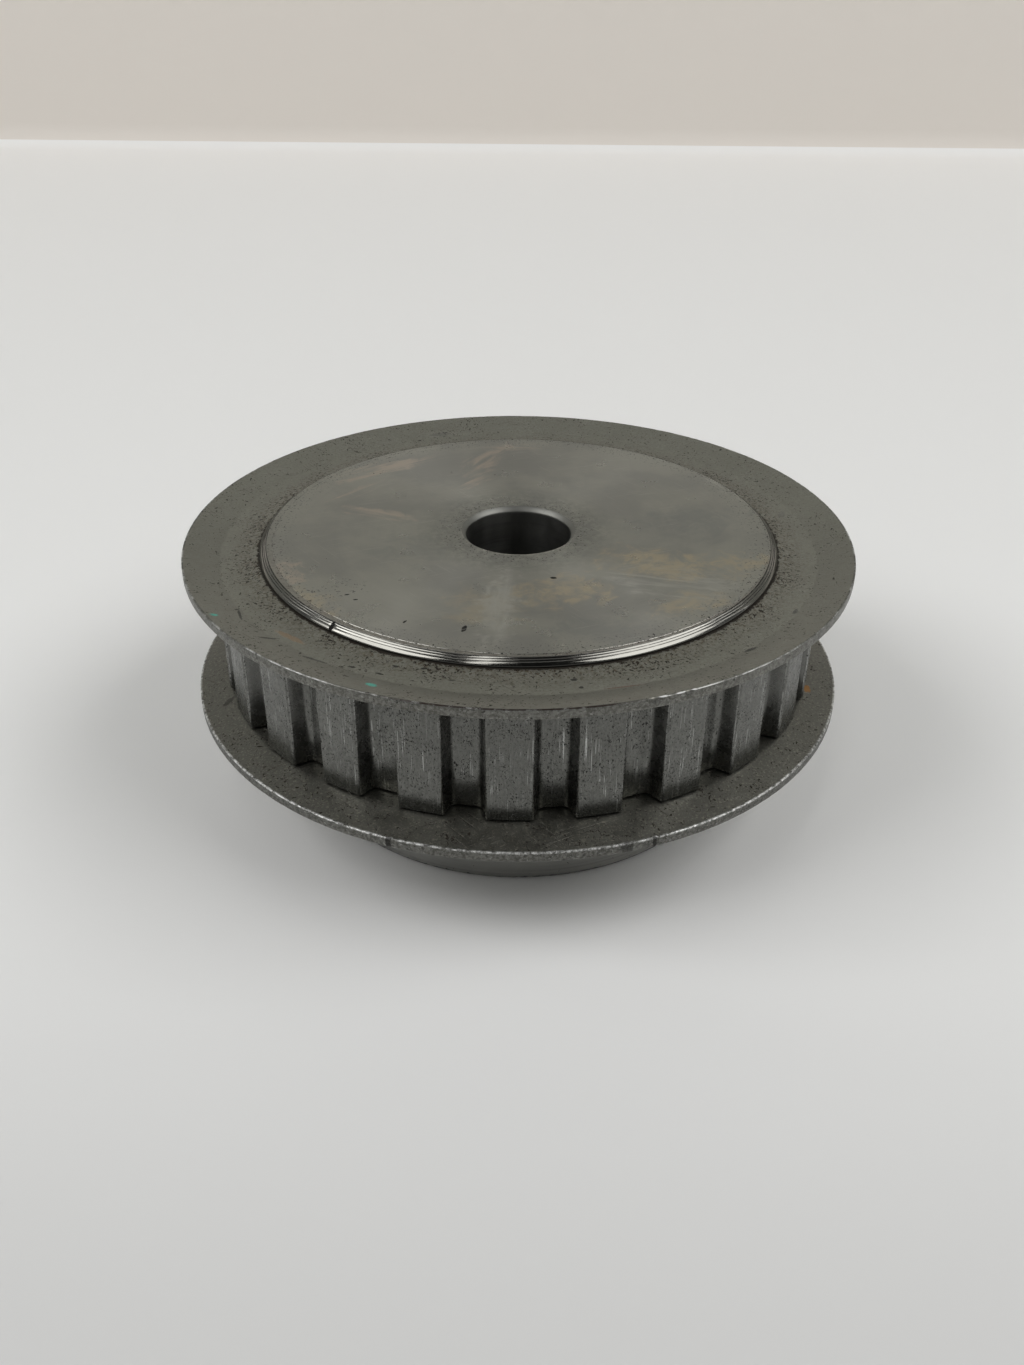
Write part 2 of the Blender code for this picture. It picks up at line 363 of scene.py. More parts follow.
# Marks on the flanges, in the same form; the bright worn ones, partly wear and partly painted
# highlight, show on the rim's edge only
FRONT_FLANGE_MARKS = [
    ((-23.3, -24.9), (2.6, 0.45), -38, 0.8, (0.17, 0.12, 0.07)),
    ((-29.5, -20.5), (1.6, 0.2), -70, 0.8, SOOT),
    ((-25.5, -25.5), (1.4, 0.2), 10, 0.8, SOOT),
    ((-20.0, -29.5), (1.8, 0.25), -25, 0.7, SOOT),
    ((-16.0, -30.7), (0.5, 0.2), -15, 0.9, SOOT),
    ((-11.6, -30.5), (0.55, 0.22), -20, 0.9, SOOT),
    ((-8.7, -30.9), (0.45, 0.2), 5, 0.9, SOOT),
    ((-13.1, -31.9), (0.6, 0.18), -25, 0.9, SOOT),
    ((-16.3, -33.0), (0.5, 0.16), -30, 0.8, SOOT),
    ((-5.8, -32.9), (0.4, 0.18), 0, 0.8, SOOT),
    ((6.2, -32.4), (0.45, 0.3), 20, 0.9, SOOT),
    ((6.9, -33.8), (0.35, 0.25), 0, 0.9, SOOT),
    # Bright patches on the rim's edge: partly wear, partly a painted highlight
    ((14.3, -37.0), (0.9, 0.5), 22, 1.0, WEAR_AND_GLINT),
    ((17.1, -35.9), (1.5, 0.5), 25, 1.0, WEAR_AND_GLINT),
    ((-13.5, -34.8), (0.75, 0.5), -35, 1.0, TEAL),
    ((-31.8, -22.0), (0.55, 0.35), 0, 1.0, TEAL),
    ((11.2, -33.5), (2.6, 0.14), 14, 0.8, (0.10, 0.05, 0.035)),
    ((24.5, -26.0), (1.0, 0.35), 35, 0.8, SOOT),
    ((30.5, -17.5), (0.8, 0.3), 60, 0.7, SOOT),
    ((-12.0, 34.0), (2.0, 0.6), 20, 0.4, SOOT),
    ((33.0, 8.0), (1.2, 0.5), 80, 0.4, SOOT),
]
HUB_FLANGE_MARKS = [
    ((35.2, -8.8), (0.9, 0.6), 70, 0.9, RUST),
    ((-34.0, -14.0), (1.2, 0.5), 60, 0.6, SOOT),
    ((-12.4, -37.7), (0.4, 0.35), -18, 0.8, SOOT),
    ((12.1, -37.8), (0.8, 0.35), 18, 0.5, SOOT),
    ((15.0, -36.8), (0.3, 0.35), 22, 0.8, SOOT),
    ((-20.0, 31.0), (1.5, 0.6), 30, 0.6, RUST),
]
# Single dark specks on the front face, each (centre, half sizes, turn in degrees)
SPECKS = [
    ((-5.1, -24.6), (0.28, 0.75), -12),
    ((4.2, -12.7), (0.38, 0.27), 0),
    ((-18.3, -17.5), (0.32, 0.16), 20),
    ((-17.2, -18.6), (0.30, 0.14), 10),
    ((-11.4, -23.3), (0.35, 0.15), 60),
]


# ---- Materials ----

MATT_DIRT_IOR = 1.15      # low, so that dirt on the steel doesn't shine


class Steel:
    """A node material built up by short calls; every node reads the point in millimetres."""

    def __init__(self, name):
        self.material = bpy.data.materials.new(name)
        self.material.use_nodes = True
        self.tree = self.material.node_tree
        self.shader = self.tree.nodes["Principled BSDF"]
        place = self.tree.nodes.new("ShaderNodeTexCoord").outputs["Object"]
        self.point = self.vector("SCALE", place, scale=1 / MM)
        split = self.tree.nodes.new("ShaderNodeSeparateXYZ")
        self.tree.links.new(self.point, split.inputs[0])
        self.x, self.y, self.z = split.outputs
        self.radius = self.vector("LENGTH", self.vector("MULTIPLY", self.point, (1, 1, 0)))
        self.shader.inputs["IOR"].default_value = MATT_DIRT_IOR
        self.height = None

    def put(self, socket, value):
        """Links a node's output to the socket, or sets the socket to a number or a colour."""
        if isinstance(value, bpy.types.NodeSocket):
            self.tree.links.new(value, socket)
        else:
            socket.default_value = value

    def math(self, operation, a, b=0.0):
        node = self.tree.nodes.new("ShaderNodeMath")
        node.operation = operation
        self.put(node.inputs[0], a)
        self.put(node.inputs[1], b)
        return node.outputs[0]

    def vector(self, operation, a, b=(0, 0, 0), scale=1.0):
        node = self.tree.nodes.new("ShaderNodeVectorMath")
        node.operation = operation
        self.put(node.inputs[0], a)
        self.put(node.inputs[1], b)
        if operation == "SCALE":
            self.put(node.inputs["Scale"], scale)
        return node.outputs["Value" if operation == "LENGTH" else "Vector"]

    def texture(self, place, detail, roughness, warp=0.0):
        node = self.tree.nodes.new("ShaderNodeTexNoise")
        for key, value in (("Vector", place), ("Scale", 1.0), ("Detail", detail),
                           ("Roughness", roughness), ("Distortion", warp)):
            self.put(node.inputs[key], value)
        return node.outputs["Fac"]

    def distance(self, centre):
        """How far the point is, across the bore's axis, from centre."""
        return self.vector("LENGTH", self.vector("MULTIPLY", self.turned(centre, 0), (1, 1, 0)))

    def turned(self, centre, turn):
        """The point seen from axes at centre, turned by some degrees about the bore's axis."""
        node = self.tree.nodes.new("ShaderNodeMapping")
        node.vector_type = "TEXTURE"
        self.put(node.inputs["Vector"], self.point)
        node.inputs["Location"].default_value = (*centre, 0)
        node.inputs["Rotation"].default_value = (0, 0, math.radians(turn))
        return node.outputs[0]

    def noise(self, size, detail=4.0, roughness=0.55, stretch=(1, 1, 1), warp=0.0, shift=0.0,
              turn=0.0):
        """Noise from 0 to 1 in blobs of about size, drawn out along the axes by stretch."""
        place = self.turned((0, 0), turn) if turn else self.point
        place = self.vector("MULTIPLY", place, tuple(1 / (size * s) for s in stretch))
        place = self.vector("ADD", place, (shift, shift * 0.7, shift * 1.3))
        return self.texture(place, detail, roughness, warp)

    def rings(self, pitch, swing=1.5):
        """Noise that changes with the radius and only slowly round the axis."""
        unit = self.vector("NORMALIZE", self.vector("MULTIPLY", self.point, (1, 1, 0)))
        join = self.tree.nodes.new("ShaderNodeCombineXYZ")
        self.put(join.inputs["Z"], self.math("DIVIDE", self.radius, pitch))
        place = self.vector("ADD", self.vector("SCALE", unit, scale=swing), join.outputs[0])
        return self.texture(place, 2.0, 0.5)

    def ramp(self, value, low, high, out_low=0.0, out_high=1.0, smooth=True):
        """Goes from out_low to out_high as value goes from low to high, and no further."""
        node = self.tree.nodes.new("ShaderNodeMapRange")
        node.interpolation_type = "SMOOTHSTEP" if smooth else "LINEAR"
        for key, number in zip(("Value", "From Min", "From Max", "To Min", "To Max"),
                               (value, low, high, out_low, out_high)):
            self.put(node.inputs[key], number)
        return node.outputs["Result"]

    def band(self, value, low, high, soft):
        """1 where value lies between low and high, fading over soft on both sides."""
        rise = self.ramp(value, low - soft, low)
        return self.math("MULTIPLY", rise, self.ramp(value, high + soft, high))

    def both(self, *shares):
        """The product of the shares: 1 only where all of them are 1."""
        total = shares[0]
        for share in shares[1:]:
            total = self.math("MULTIPLY", total, share)
        return total

    def most(self, *shares):
        """The greatest of the shares."""
        total = shares[0]
        for share in shares[1:]:
            total = self.math("MAXIMUM", total, share)
        return total

    def specks(self, size, level, stretch=(1, 1, 1), shift=0.0):
        """1 in scattered ragged specks of about size; a higher level leaves fewer of them."""
        grain = self.noise(size, 2.5, 0.6, stretch, warp=0.6, shift=shift)
        return self.ramp(grain, level, level + 0.05)

    def scratches(self, width, length, level, turn, shift=0.0):
        """1 in thin straight scratches, in patches, turned by some degrees from the X axis."""
        grain = self.noise(width, 1.0, 0.4, (length / width, 1, length / width), 0, shift, turn)
        patches = self.ramp(self.noise(length, 2, shift=shift + 4), 0.45, 0.6)
        return self.both(self.ramp(grain, level, level + 0.06), patches)

    def blot(self, centre, radii, turn=0.0, soft=0.6, ragged=0.5, grain=3.0):
        """1 inside a ragged oval round centre, fading over soft of its size."""
        place = self.vector("MULTIPLY", self.turned(centre, turn), (1 / radii[0], 1 / radii[1], 0))
        distance = self.vector("LENGTH", place)
        rough = self.ramp(self.noise(grain, 5, 0.6, warp=1.0, shift=centre[0]), 0.3, 0.7,
                          -ragged, ragged, False)
        return self.ramp(self.math("ADD", distance, rough), 1.0, 1.0 - soft)

    def mix(self, share, a, b):
        """Colour a where share is 0 and colour b where it is 1."""
        node = self.tree.nodes.new("ShaderNodeMix")
        node.data_type = "RGBA"
        self.put(node.inputs["Factor"], share)
        for socket, colour in ((MIX_FROM, a), (MIX_TO, b)):
            self.put(node.inputs[socket], (*colour, 1.0) if isinstance(colour, tuple) else colour)
        return node.outputs[MIX_RESULT]

    def tint(self, colour, share, strength, other):
        """The colour, turned towards another by strength where share is 1."""
        return self.mix(self.math("MULTIPLY", share, strength), colour, other)

    def add_height(self, value, depth):
        """Adds value times depth, in millimetres, to the relief under the shading."""
        part = self.math("MULTIPLY", value, depth)
        self.height = part if self.height is None else self.math("ADD", self.height, part)

    def round_brushing(self, strength, across):
        """Stretches highlights across turning marks, or along them if not across."""
        node = self.tree.nodes.new("ShaderNodeTangent")
        node.direction_type = "RADIAL"
        node.axis = "Z"
        self.put(self.shader.inputs["Tangent"], node.outputs[0])
        self.shader.inputs["Anisotropic"].default_value = strength
        self.shader.inputs["Anisotropic Rotation"].default_value = 0.25 if across else 0.0

    def done(self, colour, roughness, dirt):
        """Finishes the material; where dirt is 1 it isn't bare metal."""
        self.put(self.shader.inputs["Metallic"], self.math("SUBTRACT", 1.0, dirt))
        self.put(self.shader.inputs["Base Color"], colour)
        self.put(self.shader.inputs["Roughness"], roughness)
        bump = self.tree.nodes.new("ShaderNodeBump")
        bump.inputs["Distance"].default_value = MM
        self.put(bump.inputs["Height"], self.height)
        self.put(self.shader.inputs["Normal"], bump.outputs[0])
        return self.material


def front_face_steel():
    """Satin turned steel with brown blotches, pink smears, a few dark specks and a painted pale
    highlight streak from the bore to the front.
    """
    s = Steel("turned_front_face")
    colour = s.mix(s.ramp(s.noise(9.0, 5), 0.40, 0.60), (0.405, 0.395, 0.365), (0.475, 0.464, 0.415))
    colour = s.tint(colour, s.rings(0.5), 0.25, (0.30, 0.30, 0.275))
    patchy = s.ramp(s.noise(3.2, 6, 0.7, warp=1.0), 0.36, 0.56, 0.2, 1.0)
    # Most of these colours are stains and smears; the pale streak to the front is a painted highlight
    for centre, radii, turn, strength, stain_and_glint_colour in STAINS:
        blot = s.blot(centre, radii, turn, soft=0.7, grain=max(1.2, radii[1] * 0.7))
        colour = s.tint(colour, s.both(blot, patchy), strength, stain_and_glint_colour)
    for centre, radii, turn, strength, stain_and_glint_colour in STROKES:
        wipe = s.noise(1.3, 4, 0.6, (7, 1, 1), warp=0.4, shift=centre[1], turn=turn)
        share = s.both(s.blot(centre, radii, turn, ragged=0.3), s.ramp(wipe, 0.42, 0.62))
        colour = s.tint(colour, share, strength, stain_and_glint_colour)
    worn_bore = s.both(s.ramp(s.radius, 14.0, 7.0), s.ramp(s.noise(0.9, 6, 0.8), 0.3, 0.65))
    colour = s.tint(colour, worn_bore, 0.75, (0.215, 0.217, 0.197))
    from_step = s.math("SUBTRACT", s.distance(STEP_CENTRE), STEP_RADIUS)
    # A darker, browner band just outside the turned line, strongest at the front and faint at the back
    front_weighted_band = s.both(s.ramp(from_step, 0.02, 0.05), s.ramp(s.y, 2.0, -18.0, 0.15, 1.0))
    smudge = s.ramp(s.noise(0.6, 5, 0.6, shift=3), 0.35, 0.65)
    colour = s.tint(colour, front_weighted_band, 0.9, s.mix(smudge, (0.40, 0.385, 0.35), (0.32, 0.295, 0.26)))
    cluster = s.both(s.specks(0.4, 0.60), s.blot((-19.5, -17), (4, 3), 40))
    edge_specks = s.both(s.specks(0.3, 0.60, shift=4), s.ramp(s.radius, 26.0, 29.5))
    bore_specks = s.both(s.specks(0.28, 0.60, shift=8), s.ramp(s.radius, 11.0, 7.5))
    line_specks = s.both(s.specks(0.22, 0.55, shift=11), s.band(from_step, -0.05, 0.10, 0.05))
    specks = s.most(cluster, edge_specks, bore_specks, line_specks)
    for centre, radii, turn in SPECKS:
        specks = s.most(specks, s.blot(centre, radii, turn, soft=0.15, ragged=0.15, grain=0.3))
    colour = s.tint(colour, specks, 1.0, SOOT)
    hair = s.most(s.scratches(0.13, 7.0, 0.66, 22), s.scratches(0.13, 5.0, 0.68, -50, 6))
    colour = s.tint(colour, hair, 0.4, PALE)
    s.add_height(s.rings(0.22), 0.003)
    s.add_height(s.rings(1.4), 0.004)
    s.round_brushing(0.85, True)
    rough = s.ramp(s.noise(5.0, 5, shift=3), 0.3, 0.7, 0.27, 0.33)
    return s.done(colour, rough, specks)


def lip_steel():
    """Bright burnished steel of the rolled lips, with dark specks, a dark nick, and painted shade in
    the valleys between the ridges and along the lip's foot.
    """
    s = Steel("burnished_lip")
    colour = s.mix(s.ramp(s.rings(0.45, 1.0), 0.35, 0.65), (0.18, 0.176, 0.160), (0.23, 0.225, 0.205))
    # Painted shade: dark lines in the valleys between the ridges and at the ridges' start, fainter at
    # the front than on the sides
    valleys = [RIDGE_START + end * RIDGE_WIDTH for end in RIDGE_ENDS[1:-1]]
    painted_valley_shade = s.most(*(s.band(s.radius, r - 0.02, r + 0.02, 0.02) for r in valleys))
    start = s.band(s.radius, RIDGE_START - 0.11, RIDGE_START - 0.07, 0.03)
    patchy = s.ramp(s.noise(0.8, 4, 0.6, shift=2), 0.3, 0.5, 0.5, 1.0)
    strength = s.both(patchy, s.ramp(s.y, -27.0, -20.0, 0.6, 1.0))
    painted_valley_shade = s.both(s.most(painted_valley_shade, start), strength)
    # Painted shade on the lip's side and underside, down by the flange
    from_middle = s.math("ABSOLUTE", s.math("SUBTRACT", s.z, (TOP + BACK_FACE) / 2))
    side = (TOP - BACK_FACE) / 2 + LIP_SIDE
    painted_lip_foot_shade = s.ramp(from_middle, side + 0.16, side + 0.08)
    nick = s.blot(NICK_PLACE, (0.3, 0.6), -38, soft=0.2, ragged=0.3, grain=0.3)
    # Dark specks and the nick, together with the painted shade of the valleys and of the lip's foot
    dirt_and_shade = s.most(painted_lip_foot_shade, s.specks(0.2, 0.70), nick, painted_valley_shade)
    colour = s.tint(colour, dirt_and_shade, 1.0, (0.012, 0.011, 0.01))
    s.add_height(s.rings(0.35), 0.003)
    rough = s.ramp(s.noise(1.5, 4), 0.3, 0.7, 0.09, 0.14)
    return s.done(colour, s.math("ADD", rough, s.math("MULTIPLY", dirt_and_shade, 0.4)), dirt_and_shade)


def tooth_steel():
    """Cut steel with axial tool streaks, bright hair scratches, crowds of tiny dark pores and a
    painted highlight along the crowns' corners.
    """
    s = Steel("cut_teeth")
    flank = s.band(s.radius, CROWN_RADIUS - GROOVE_DEPTH + 0.28, CROWN_RADIUS - 0.22, 0.05)
    open_face = s.math("SUBTRACT", 1.0, flank)
    streak = s.noise(0.11, 3, 0.6, (1, 1, 20))
    mottle = s.noise(0.22, 4, 0.7, (1, 1, 2), shift=2)
    colour = s.mix(s.ramp(mottle, 0.25, 0.75), (0.114, 0.115, 0.107), (0.168, 0.169, 0.157))
    colour = s.tint(colour, s.ramp(streak, 0.48, 0.66), 0.35, (0.20, 0.202, 0.19))
    patches = s.ramp(s.noise(1.6, 3, stretch=(1, 1, 2), shift=21), 0.46, 0.60)
    bright = s.ramp(s.noise(0.08, 1, 0.4, (1, 1, 70), shift=7), 0.64, 0.70)
    colour = s.tint(colour, s.both(bright, patches), 0.9, (0.50, 0.505, 0.49))
    crowd = s.ramp(s.noise(2.5, 3, shift=5), 0.35, 0.65, -0.035, 0.03)
    grain = s.math("ADD", s.noise(0.16, 2.5, 0.6, (1, 1, 1.5), warp=0.6), crowd)
    pores = s.most(s.ramp(grain, 0.61, 0.64), s.specks(0.45, 0.70, shift=9))
    pores = s.both(pores, open_face)
    colour = s.tint(colour, flank, 0.8, (0.16, 0.16, 0.151))
    # Painted highlight: a lighter line along the crowns' rounded corners
    corner = s.band(s.radius, CROWN_RADIUS - 0.13, CROWN_RADIUS - 0.03, 0.03)
    corner = s.both(corner, s.ramp(s.noise(1.5, 4), 0.35, 0.6))
    colour = s.tint(colour, corner, 0.5, (0.42, 0.42, 0.405))
    colour = s.tint(colour, pores, 0.85, (0.018, 0.018, 0.017))
    s.add_height(s.both(streak, open_face), 0.008)
    s.add_height(pores, -0.02)
    s.round_brushing(0.8, False)
    rough = s.ramp(s.noise(0.8), 0.3, 0.7, 0.22, 0.31)
    return s.done(colour, rough, s.math("MULTIPLY", pores, 0.8))


def hub_steel():
    """Plainly turned steel of the hub, the back face and the bore, with painted shade on the hub's
    left side and along its foot.
    """
    s = Steel("turned_hub")
    colour = s.mix(s.ramp(s.noise(9.0, 3), 0.35, 0.65), (0.33, 0.33, 0.315), (0.365, 0.362, 0.342))
    turning = s.most(s.noise(0.35, 3, 0.6, (60, 60, 1)), s.rings(0.5))
    colour = s.tint(colour, s.ramp(turning, 0.48, 0.66), 0.45, (0.21, 0.21, 0.202))
    colour = s.tint(colour, s.blot((12, 15), (8, 4), 30), 0.5, (0.33, 0.27, 0.20))
    # Painted shade: the hub's left side darkened where the flanges shade it
    shade = s.blot((-22, -18), (14, 12), soft=0.9, ragged=0.2)
    colour = s.tint(colour, shade, 0.8, (0.10, 0.10, 0.098))
    mouth = s.both(s.ramp(s.radius, 7.0, 6.9), s.ramp(s.z, TOP - 0.75, TOP - 0.6))
    colour = s.tint(colour, mouth, 0.8, (0.22, 0.22, 0.20))
    # Painted contact shade: a dark ragged line along the bottom of the hub's side, added to the dirt
    # specks below
    painted_hub_foot_shade = s.ramp(s.math("ADD", s.z, s.noise(0.6, 3)), 0.85, 0.70)
    specks = s.most(s.specks(0.4, 0.70), s.math("MULTIPLY", painted_hub_foot_shade, s.ramp(s.radius, 26.0, 26.5)))
    colour = s.tint(colour, specks, 0.8, (0.03, 0.027, 0.022))
    s.add_height(s.rings(0.25), 0.006)
    s.add_height(s.noise(0.2, 3, stretch=(60, 60, 1)), 0.008)
    s.round_brushing(0.5, True)
    rough = s.ramp(s.noise(3.0), 0.3, 0.7, 0.28, 0.34)
    return s.done(colour, s.math("ADD", rough, s.math("MULTIPLY", mouth, 0.2)), specks)


def toned(painted_shade_tone, colour):
    """The colour made darker by a factor."""
    return tuple(painted_shade_tone * part for part in colour)


def sheet_ground(s, grain, painted_shade_tone, grit):
    """Mottled and clouded bare sheet, with painted shade on the dished part at the front, and the
    whole sheet darkened by its tone factor as painted shade.
    """
    dull, clean = (toned(painted_shade_tone, shade) for shade in SHEET_SHADES)
    colour = s.mix(s.ramp(grain, 0.30, 0.70), dull, clean)
    cloud = s.ramp(s.noise(5.0, 5, 0.6, shift=8), 0.4, 0.62)
    colour = s.tint(colour, cloud, 0.35, toned(painted_shade_tone, (0.31, 0.303, 0.262)))
    # Painted shade: the dished part beyond the bend is darker at the front
    bend = s.math("ADD", s.radius, s.noise(3.0, 2))
    painted_dish_shade = s.both(s.ramp(bend, SHADE_START + 0.45, SHADE_START + 0.60), s.ramp(s.y, 12.0, -6.0))
    colour = s.tint(colour, painted_dish_shade, 0.45, toned(painted_shade_tone, (0.235, 0.232, 0.205)))
    return s.tint(colour, s.specks(0.24, 0.56, shift=27), grit, (0.42, 0.40, 0.33))


def lip_dirt(s, colour, near_lip, grime):
    """Grey and brown dirt beside the lip, with a few bright sparks in it."""
    dirt = s.both(near_lip, s.ramp(s.noise(0.9, 6, 0.8), 0.44, 0.60))
    colour = s.tint(colour, dirt, grime, (0.13, 0.112, 0.08))
    brown = s.both(s.ramp(s.noise(0.38, 3, 0.65, shift=31), 0.56, 0.60), near_lip)
    colour = s.tint(colour, brown, 0.75, (0.11, 0.075, 0.045))
    sparks = s.both(s.specks(0.25, 0.66, shift=17), s.ramp(s.radius, 33.0, 31.9))
    return s.tint(colour, sparks, 0.6, (0.55, 0.53, 0.42))


def sheet_pits_and_gap_shade(s, near_lip):
    """1 in pits and flecks, in crowds, and as painted shade in the gap along the lip."""
    crowd = s.ramp(s.noise(5.0, 3, shift=12), 0.35, 0.65, -0.06, 0.03)
    crowd = s.math("ADD", crowd, s.math("MULTIPLY", near_lip, 0.07))
    pits = s.ramp(s.math("ADD", s.noise(0.34, 2.0, 0.6, warp=0.6), crowd), 0.64, 0.66)
    flecks = s.most(s.specks(0.42, 0.66, (2, 1, 1), 6), s.specks(0.42, 0.66, (1, 2, 1), 14))
    # Painted shade: a dark ragged ring on the sheet right beside the lip
    painted_gap_shade = s.ramp(s.math("ADD", s.radius, s.noise(0.5, 4)), 31.70, 31.54)
    return s.most(pits, flecks, painted_gap_shade)


def rim_wear_and_glint(s, colour, top_edge, painted_dark_front):
    """A dirty rim with chips, worn bright along its edge at height top_edge: partly real wear, partly
    a painted highlight.

    Where the flag after top_edge is 1, a painted dark reflection takes the bright line's place at the
    front.
    """
    rim = s.ramp(s.radius, FLANGE_RADIUS - 0.30, FLANGE_RADIUS - 0.14)
    rim_shade = s.mix(s.ramp(s.noise(0.35, 4, 0.7), 0.4, 0.6), (0.05, 0.05, 0.046), (0.18, 0.18, 0.17))
    colour = s.tint(colour, rim, 0.7, rim_shade)
    chips = s.both(rim, s.specks(0.35, 0.61, (1, 1, 0.6), shift=15))
    colour = s.tint(colour, chips, 0.5, (0.40, 0.40, 0.385))
    edge = s.both(rim, s.band(s.z, top_edge - 0.12, top_edge + 0.1, 0.06))
    patchy = s.ramp(s.noise(0.6 + 1.6 * painted_dark_front, 5, 0.8, shift=4), 0.40 + 0.06 * painted_dark_front, 0.62)
    # Painted dark reflection: at the front a dark line replaces the edge's bright one
    front = s.both(s.ramp(s.y, 0.0, -8.0), s.ramp(s.math("ABSOLUTE", s.x), 14.0, 9.0), painted_dark_front)
    front = s.both(front, s.ramp(s.noise(1.2, 5, 0.7, shift=9), 0.36, 0.50, 0.15, 1.0))
    # The bright edge: partly wear, partly a painted highlight
    colour = s.tint(colour, s.both(edge, patchy), 0.9 - 0.3 * painted_dark_front, WEAR_AND_GLINT)
    return s.tint(colour, s.both(edge, front), 0.95, (0.04, 0.03, 0.026)), edge


def flange_steel(name, painted_shade_tone, grime, grit, top_edge, painted_dark_front, marks):
    """Dull pressed sheet: mottling, pits, dirt near the lip, painted shade in the gap along the lip, a
    rim worn along one edge and partly painted with a highlight there; its tone factor paints the whole
    sheet darker as shade.
    """
    s = Steel(name)
    grain = s.noise(0.28, 5, 0.75)
    near_lip = s.ramp(s.radius, 35.0, 31.4)
    colour = sheet_ground(s, grain, painted_shade_tone, grit)
    colour = lip_dirt(s, colour, near_lip, grime)
    pits = sheet_pits_and_gap_shade(s, near_lip)
    # The pits also carry the painted shade in the gap along the lip
    colour = s.tint(colour, pits, 0.95, (0.022, 0.018, 0.014))
    hair = s.most(s.scratches(0.14, 6.0, 0.66, 25, 3), s.scratches(0.14, 5.0, 0.67, -40, 8))
    colour = s.tint(colour, hair, 0.6, (0.07, 0.06, 0.05))
    colour, edge = rim_wear_and_glint(s, colour, top_edge, painted_dark_front)
    paint = s.math("MULTIPLY", pits, 0.8)
    for centre, radii, turn, strength, stain_and_glint_colour in marks:
        share = s.blot(centre, radii, turn, soft=0.4, ragged=0.3, grain=max(0.3, radii[1]))
        if stain_and_glint_colour == WEAR_AND_GLINT:
            share = s.both(share, edge)
        colour = s.tint(colour, share, strength, stain_and_glint_colour)
        paint = s.most(paint, s.math("MULTIPLY", share, strength))
    s.add_height(grain, 0.012)
    s.add_height(pits, -0.03)
    s.add_height(hair, -0.02)
    return s.done(colour, s.ramp(s.noise(1.5, 5), 0.3, 0.7, 0.38, 0.48), paint)


# ---- The stage, in metres ----

def faded_paint(name, axis, ends, colours, roughness):
    """Plain paint that fades from one colour to another between two places on an axis."""
    material = bpy.data.materials.new(name)
    material.use_nodes = True
    tree = material.node_tree
    split = tree.nodes.new("ShaderNodeSeparateXYZ")
    tree.links.new(tree.nodes.new("ShaderNodeTexCoord").outputs["Object"], split.inputs[0])
    fade = tree.nodes.new("ShaderNodeMapRange")
    fade.interpolation_type = "SMOOTHSTEP"
    tree.links.new(split.outputs[axis], fade.inputs["Value"])
    fade.inputs["From Min"].default_value, fade.inputs["From Max"].default_value = ends
    blend = tree.nodes.new("ShaderNodeMix")
    blend.data_type = "RGBA"
    tree.links.new(fade.outputs["Result"], blend.inputs["Factor"])
    blend.inputs[MIX_FROM].default_value = (*colours[0], 1)
    blend.inputs[MIX_TO].default_value = (*colours[1], 1)
    shader = tree.nodes["Principled BSDF"]
    tree.links.new(blend.outputs[MIX_RESULT], shader.inputs["Base Color"])
    shader.inputs["Roughness"].default_value = roughness
    return material


def make_floor():
    """A pale table that ends in a cream wall, as one bent sheet; the table's paint darkens towards the
    front as painted shade, and the wall's paint is lighter low down as painted light.
    """
    front_end, wall_place, wall_height = -0.9, 0.49, 0.9
    width = 2.4
    bend = 0.01
    level = -0.00005
    points = [(front_end, level), (wall_place - bend, level)]
    points += arc((wall_place - bend, bend + level), bend, -90, 0, 6)[1:]
    points += [(wall_place, wall_height)]
    verts = [(x, y, z) for y, z in points for x in (-width / 2, width / 2)]
    faces = [(2 * i, 2 * i + 1, 2 * i + 3, 2 * i + 2) for i in range(len(points) - 1)]
    mesh = bpy.data.meshes.new("pale_table")
    mesh.from_pydata(verts, [], faces)
    mesh.shade_smooth()
    # Painted shade: the table's paint is darker towards the front
    pale = ((0.70, 0.697, 0.686), (0.94, 0.938, 0.923))
    # Painted light: the wall's paint is lighter low down, by the table
    cream = ((0.80, 0.750, 0.690), (0.40, 0.40, 0.37))
    mesh.materials.append(faded_paint("table", "Y", (-0.10, -0.02), pale, 0.4))
    mesh.materials.append(faded_paint("wall", "Z", (0.09, 0.20), cream, 0.8))
    wall_faces = 4
    mesh.polygons.foreach_set("material_index",
                              [0] * (len(faces) - wall_faces) + [1] * wall_faces)
    floor = bpy.data.objects.new("pale_table", mesh)
    bpy.context.scene.collection.objects.link(floor)


# Area lights that face the origin, each (name, place, size, power in watts)
LIGHTS = [
    ("left_box", (-0.96, -0.38, 1.05), (0.95, 0.7), 7.7),
    ("right_box", (0.90, -0.26, 1.05), (1.15, 0.72), 8.7),
    ("top_strip", (-0.20, -0.55, 1.18), (0.16, 0.6), 0.95),
    ("far_left_box", (-1.26, 0.0, 0.82), (0.32, 0.42), 1.0),
    ("left_fill", (-0.95, 0.80, 0.75), (0.9, 0.7), 4.2),
    ("right_fill", (1.00, 0.80, 0.75), (0.9, 0.7), 3.9),
]


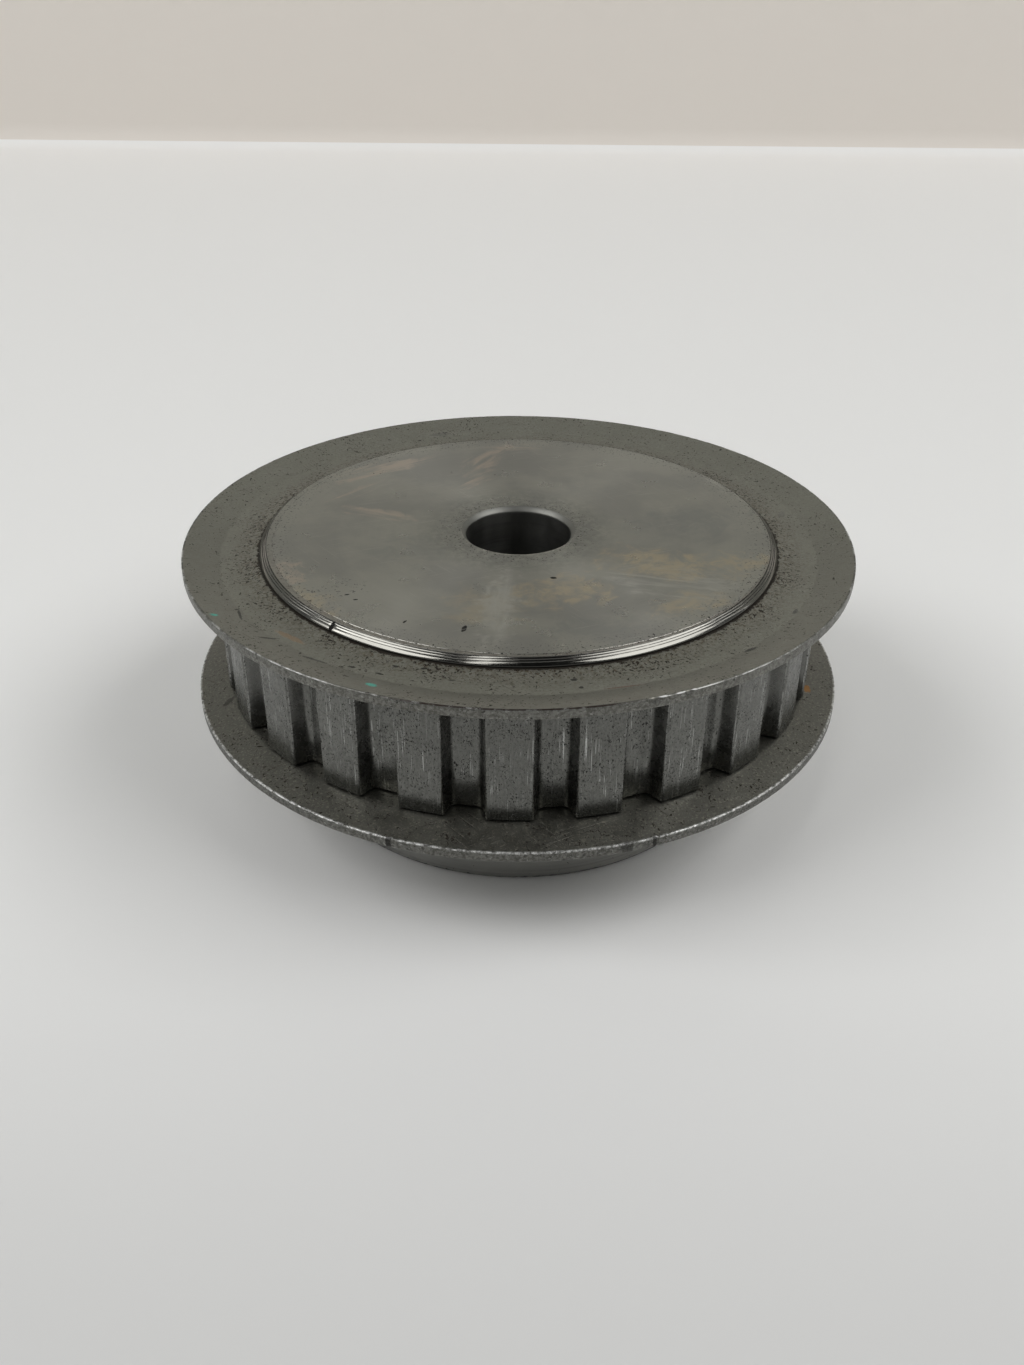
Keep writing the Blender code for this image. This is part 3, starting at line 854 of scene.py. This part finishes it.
def make_world():
    """A dim surround, paler low down, with a dark patch above and behind the camera."""
    world = bpy.data.worlds.new("studio")
    bpy.context.scene.world = world
    world.use_nodes = True
    tree = world.node_tree
    direction = tree.nodes.new("ShaderNodeTexCoord").outputs["Generated"]
    rise = tree.nodes.new("ShaderNodeSeparateXYZ")
    tree.links.new(direction, rise.inputs[0])
    over_camera = tree.nodes.new("ShaderNodeVectorMath")
    over_camera.operation = "DOT_PRODUCT"
    tree.links.new(direction, over_camera.inputs[0])
    over_camera.inputs[1].default_value = (0, -0.6, 0.8)
    fades = []
    for source, ends, levels in (
        (rise.outputs["Z"], (0.05, 0.40), (0.35, 0.205)),
        (over_camera.outputs["Value"], (0.72, 0.90), (1.0, 0.08)),
    ):
        fade = tree.nodes.new("ShaderNodeMapRange")
        fade.interpolation_type = "SMOOTHSTEP"
        tree.links.new(source, fade.inputs["Value"])
        fade.inputs["From Min"].default_value, fade.inputs["From Max"].default_value = ends
        fade.inputs["To Min"].default_value, fade.inputs["To Max"].default_value = levels
        fades.append(fade.outputs["Result"])
    strength = tree.nodes.new("ShaderNodeMath")
    strength.operation = "MULTIPLY"
    tree.links.new(fades[0], strength.inputs[0])
    tree.links.new(fades[1], strength.inputs[1])
    background = tree.nodes["Background"]
    background.inputs["Color"].default_value = (0.97, 0.99, 1.0, 1)
    tree.links.new(strength.outputs[0], background.inputs["Strength"])


def make_lights():
    """Soft boxes and fills on both sides, and a small strip overhead."""
    for name, place, size, power in LIGHTS:
        data = bpy.data.lights.new(name, "AREA")
        data.shape = "RECTANGLE"
        data.size, data.size_y = size
        data.energy = power
        lamp = bpy.data.objects.new(name, data)
        lamp.location = place
        lamp.rotation_euler = Vector(place).to_track_quat("Z", "Y").to_euler()
        bpy.context.scene.collection.objects.link(lamp)


def make_camera():
    """Looks down on the front face from 32 degrees, turned a little off the tooth's axis."""
    distance, height = 0.1360, 0.09485
    off_axis = math.radians(1.094)
    down = math.radians(31.98)
    heading = off_axis + 0.005
    roll = 0.0053
    data = bpy.data.cameras.new("camera")
    data.lens = 32.53
    data.clip_start = 0.005
    camera = bpy.data.objects.new("camera", data)
    spot = (distance * math.sin(off_axis), -distance * math.cos(off_axis), height)
    camera.matrix_world = (
        Matrix.Translation(spot)
        @ Matrix.Rotation(heading, 4, "Z")
        @ Matrix.Rotation(math.pi / 2 - down, 4, "X")
        @ Matrix.Rotation(roll, 4, "Z")
    )
    bpy.context.scene.collection.objects.link(camera)
    bpy.context.scene.camera = camera


# ---- Putting it together ----

def main():
    bpy.context.scene.view_settings.view_transform = "Standard"
    make_camera()
    make_floor()
    make_world()
    make_lights()
    body = make_body([front_face_steel(), lip_steel(), tooth_steel(), hub_steel()])
    front_sheet = flange_steel("front_sheet", 1.0, 0.4, 0.1, TOP, 1.0, FRONT_FLANGE_MARKS)
    front = make_flange("front_flange_ring", FRONT_SEAT, 1, 1, front_sheet, RIM_CHIPS)
    hub_edge = HUB_SEAT - RIM_LOWEST
    # The hub flange's sheet at 0.57 of the front one's tone is painted shade: it lies in the front
    # flange's shade
    hub_sheet = flange_steel("hub_sheet", 0.57, 0.4, 0.35, hub_edge, 0.0, HUB_FLANGE_MARKS)
    back = make_flange("hub_flange_ring", HUB_SEAT, -1, 2, hub_sheet)
    for piece, node, slot in (
        (body, "toothed_body", "machined_steel"),
        (front, "front_flange", "flange_steel"),
        (back, "hub_side_flange", "flange_steel"),
    ):
        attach(piece, "root")
        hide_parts(node)


main()
